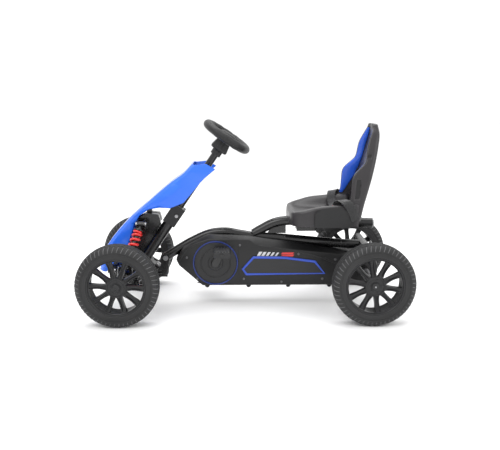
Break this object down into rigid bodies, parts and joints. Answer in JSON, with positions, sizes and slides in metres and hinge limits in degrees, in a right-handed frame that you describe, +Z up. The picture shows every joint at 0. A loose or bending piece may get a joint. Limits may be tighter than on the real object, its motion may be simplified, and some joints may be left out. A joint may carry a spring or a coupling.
{
  "type": "pedal go kart",
  "caption": "Child's four-wheeled pedal go kart: tube chassis, enclosed chain drive, sprung front axle, nose fairing, steering wheel and sliding bucket seat with lap belt.",
  "frame": {"origin": "on the ground, midway between the axles on the centre plane", "axes": "+X forward, +Y to the rider's left, +Z up"},
  "size_m": [0.975, 0.494, 0.5806],
  "materials": {
    "chassis_paint": "satin black powder coat",
    "bare_steel": "zinc-plated",
    "chain_steel": "oiled",
    "nylon": "natural nylon",
    "fairing_blue": "gloss",
    "case_black": "fine grain",
    "cover_black": "fine grain",
    "trim_blue": "gloss",
    "tyre_eva": "matt foam rubber",
    "wheel_plastic": "satin",
    "grip": "soft touch",
    "spring_red": "gloss powder coat",
    "seat_plastic": "satin grained",
    "seat_cover_plastic": "matt",
    "webbing": "woven"
  },
  "bodies": {
    "chassis": {"main_tube": "chassis_paint", "rear_frame": "chassis_paint", "seat_rail": "chassis_paint", "rail_end_cap": "bare_steel", "front_axle_beam": "chassis_paint", "steering_head": "chassis_paint", "column_bearing_block": "case_black", "frame_bushes": "nylon", "shock_tower": "chassis_paint", "frame_bolts": "bare_steel", "nose_fairing": "fairing_blue", "chain_case_left": "case_black", "chain_case_right": "case_black", "crank_covers": "cover_black", "crank_rings": "trim_blue", "side_trims": "trim_blue", "case_screws": "bare_steel", "drive_chain": "chain_steel", "bottom_bracket": "chassis_paint"},
    "steering": {"steering_column": "chassis_paint", "steering_wheel": "grip", "steering_hub": "cover_black", "horn_pad": "cover_black"},
    "crank": {"crankset": "chassis_paint"},
    "left_pedal": {"pedal_left": "cover_black"},
    "right_pedal": {"pedal_right": "cover_black"},
    "rear_drive": {"rear_axle": "bare_steel", "rear_left_tyre": "tyre_eva", "rear_left_rim": "wheel_plastic", "rear_left_cap": "cover_black"},
    "rear_right_wheel": {"rear_right_tyre": "tyre_eva", "rear_right_rim": "wheel_plastic", "rear_right_cap": "cover_black"},
    "seat": {"seat_shell": "seat_plastic", "seat_bolster_inserts": "trim_blue", "seat_side_covers": "seat_cover_plastic", "seat_belt": "webbing", "belt_buckle": "cover_black", "seat_slider": "chassis_paint", "seat_clamp_knob": "cover_black"},
    "left_suspension": {"suspension_arm_left": "chassis_paint"},
    "left_knuckle": {"knuckle_left": "chassis_paint"},
    "left_tie_end": {"ball_stud_left": "bare_steel"},
    "left_tie_rod": {"tie_rod_left": "chassis_paint"},
    "left_shock_upper": {"shock_body_left": "chassis_paint", "coil_spring_left": "spring_red"},
    "left_shock_lower": {"shock_rod_left": "bare_steel"},
    "front_left_wheel": {"front_left_tyre": "tyre_eva", "front_left_rim": "wheel_plastic", "front_left_cap": "cover_black"},
    "right_suspension": {"suspension_arm_right": "chassis_paint"},
    "right_knuckle": {"knuckle_right": "chassis_paint"},
    "right_tie_end": {"ball_stud_right": "bare_steel"},
    "right_tie_rod": {"tie_rod_right": "chassis_paint"},
    "right_shock_upper": {"shock_body_right": "chassis_paint", "coil_spring_right": "spring_red"},
    "right_shock_lower": {"shock_rod_right": "bare_steel"},
    "front_right_wheel": {"front_right_tyre": "tyre_eva", "front_right_rim": "wheel_plastic", "front_right_cap": "cover_black"}
  },
  "joints": [
    {"name": "steering_turn", "type": "hinge", "parent": "chassis", "child": "steering", "pos_m": [0.055, 0, 0.528], "axis": [-0.5664, 0, 0.8241], "range_deg": [-24, 24]},
    {"name": "crank_spin", "type": "hinge", "parent": "chassis", "child": "crank", "pos_m": [0.093, 0, 0.141], "axis": [0, 1, 0], "continuous": true},
    {"name": "left_pedal_spin", "type": "hinge", "parent": "crank", "child": "left_pedal", "pos_m": [0.07108, 0.099, 0.18594], "axis": [0, 1, 0], "continuous": true},
    {"name": "right_pedal_spin", "type": "hinge", "parent": "crank", "child": "right_pedal", "pos_m": [0.11492, -0.099, 0.09606], "axis": [0, 1, 0], "continuous": true},
    {"name": "rear_axle_spin", "type": "hinge", "parent": "chassis", "child": "rear_drive", "pos_m": [-0.3675, 0, 0.12], "axis": [0, 1, 0], "continuous": true},
    {"name": "rear_right_wheel_spin", "type": "hinge", "parent": "chassis", "child": "rear_right_wheel", "pos_m": [-0.3675, -0.214, 0.12], "axis": [0, 1, 0], "continuous": true},
    {"name": "seat_slide", "type": "slide", "parent": "chassis", "child": "seat", "axis": [1, 0, 0], "range_m": [0, 0.05]},
    {"name": "left_suspension_lift", "type": "hinge", "parent": "chassis", "child": "left_suspension", "pos_m": [0.3675, 0.035, 0.115], "axis": [1, 0, 0], "range_deg": [0, 8], "stiffness_Nm_per_rad": 260, "springref_deg": -17.19},
    {"name": "left_knuckle_steer", "type": "hinge", "parent": "left_suspension", "child": "left_knuckle", "pos_m": [0.3675, 0.15, 0.12], "axis": [0, 0, 1], "range_deg": [-24.5, 24.5]},
    {"name": "front_left_wheel_spin", "type": "hinge", "parent": "left_knuckle", "child": "front_left_wheel", "pos_m": [0.3675, 0.214, 0.12], "axis": [0, 1, 0], "continuous": true},
    {"name": "left_tie_end_swivel", "type": "hinge", "parent": "steering", "child": "left_tie_end", "pos_m": [0.28526, 0.0095, 0.11352], "axis": [-0.5664, 0, 0.8241], "range_deg": [-24.5, 24.5]},
    {"name": "left_tie_rod_lift", "type": "hinge", "parent": "left_tie_end", "child": "left_tie_rod", "pos_m": [0.28526, 0.0095, 0.11352], "axis": [1, 0, 0], "range_deg": [-0.5, 7.5]},
    {"name": "left_shock_tilt", "type": "hinge", "parent": "chassis", "child": "left_shock_upper", "pos_m": [0.318, 0.0595, 0.267], "axis": [1, 0, 0], "range_deg": [-1, 1]},
    {"name": "left_shock_stroke", "type": "slide", "parent": "left_shock_upper", "child": "left_shock_lower", "axis": [-0.31, -0.4207, 0.8526], "range_m": [-0.0005, 0.0145], "deforming": ["coil_spring_left"]},
    {"name": "right_suspension_lift", "type": "hinge", "parent": "chassis", "child": "right_suspension", "pos_m": [0.3675, -0.035, 0.115], "axis": [-1, 0, 0], "range_deg": [0, 8], "stiffness_Nm_per_rad": 260, "springref_deg": -17.19},
    {"name": "right_knuckle_steer", "type": "hinge", "parent": "right_suspension", "child": "right_knuckle", "pos_m": [0.3675, -0.15, 0.12], "axis": [0, 0, 1], "range_deg": [-24.5, 24.5]},
    {"name": "front_right_wheel_spin", "type": "hinge", "parent": "right_knuckle", "child": "front_right_wheel", "pos_m": [0.3675, -0.214, 0.12], "axis": [0, 1, 0], "continuous": true},
    {"name": "right_tie_end_swivel", "type": "hinge", "parent": "steering", "child": "right_tie_end", "pos_m": [0.28526, -0.0095, 0.11352], "axis": [-0.5664, 0, 0.8241], "range_deg": [-24.5, 24.5]},
    {"name": "right_tie_rod_lift", "type": "hinge", "parent": "right_tie_end", "child": "right_tie_rod", "pos_m": [0.28526, -0.0095, 0.11352], "axis": [-1, 0, 0], "range_deg": [-0.5, 7.5]},
    {"name": "right_shock_tilt", "type": "hinge", "parent": "chassis", "child": "right_shock_upper", "pos_m": [0.318, -0.0595, 0.267], "axis": [-1, 0, 0], "range_deg": [-1, 1]},
    {"name": "right_shock_stroke", "type": "slide", "parent": "right_shock_upper", "child": "right_shock_lower", "axis": [-0.31, 0.4207, 0.8526], "range_m": [-0.0005, 0.0145], "deforming": ["coil_spring_right"]}
  ],
  "couplings": [
    {"joint": "left_pedal_spin", "follows": "crank_spin", "ratio": -1},
    {"joint": "right_pedal_spin", "follows": "crank_spin", "ratio": -1},
    {"joint": "rear_axle_spin", "follows": "crank_spin", "ratio": 2},
    {"joint": "left_knuckle_steer", "follows": "steering_turn", "ratio": 1},
    {"joint": "left_tie_end_swivel", "follows": "steering_turn", "ratio": -1},
    {"joint": "left_tie_rod_lift", "follows": "left_suspension_lift", "ratio": 0.83},
    {"joint": "left_shock_tilt", "follows": "left_suspension_lift", "ratio": -0.02487},
    {"joint": "left_shock_stroke", "follows": "left_suspension_lift", "m_per_rad": 0.093797},
    {"joint": "right_knuckle_steer", "follows": "steering_turn", "ratio": 1},
    {"joint": "right_tie_end_swivel", "follows": "steering_turn", "ratio": -1},
    {"joint": "right_tie_rod_lift", "follows": "right_suspension_lift", "ratio": 0.83},
    {"joint": "right_shock_tilt", "follows": "right_suspension_lift", "ratio": -0.02487},
    {"joint": "right_shock_stroke", "follows": "right_suspension_lift", "m_per_rad": 0.093797}
  ]
}
